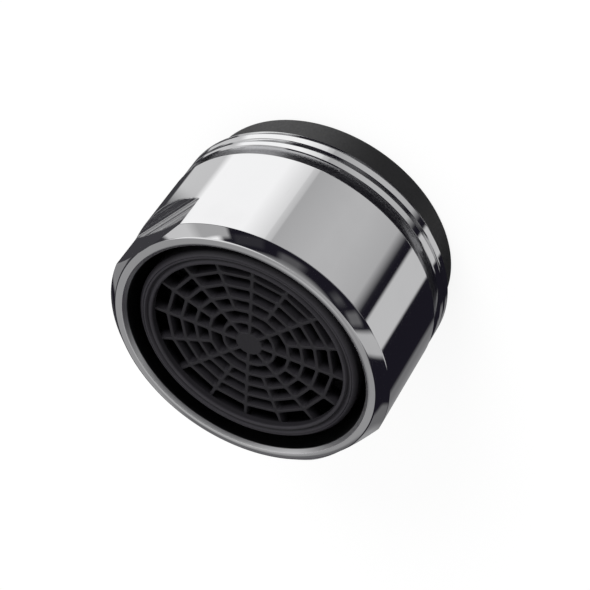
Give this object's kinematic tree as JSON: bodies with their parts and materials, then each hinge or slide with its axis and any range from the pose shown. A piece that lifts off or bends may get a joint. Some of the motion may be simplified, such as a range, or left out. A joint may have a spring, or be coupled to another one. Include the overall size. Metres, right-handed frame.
{
  "type": "tap aerator",
  "caption": "Chromed tap aerator: short round housing with male thread and spanner flats, rubber sealing washer, and a plastic insert whose outlet is a web of rings and spokes.",
  "frame": {"origin": "on the axis, at the sealing washer's outer face, which the aerator stands on", "axes": "+Z along the axis from the inlet to the outlet, +X and -X out of the two spanner flats"},
  "size_m": [0.024, 0.024, 0.0156],
  "materials": {
    "chrome_plate": "polished chrome plating on brass",
    "black_rubber": "matte moulded rubber",
    "dark_plastic": "moulded plastic, low sheen",
    "pale_plastic": "moulded plastic, low sheen"
  },
  "bodies": {
    "root": {"housing": "chrome_plate", "sealing_washer": "black_rubber", "outlet_cup": "dark_plastic", "mixing_grid_outlet": "dark_plastic", "mixing_grid_inlet": "dark_plastic", "jet_plate": "pale_plastic", "inlet_filter": "pale_plastic"}
  },
  "joints": []
}
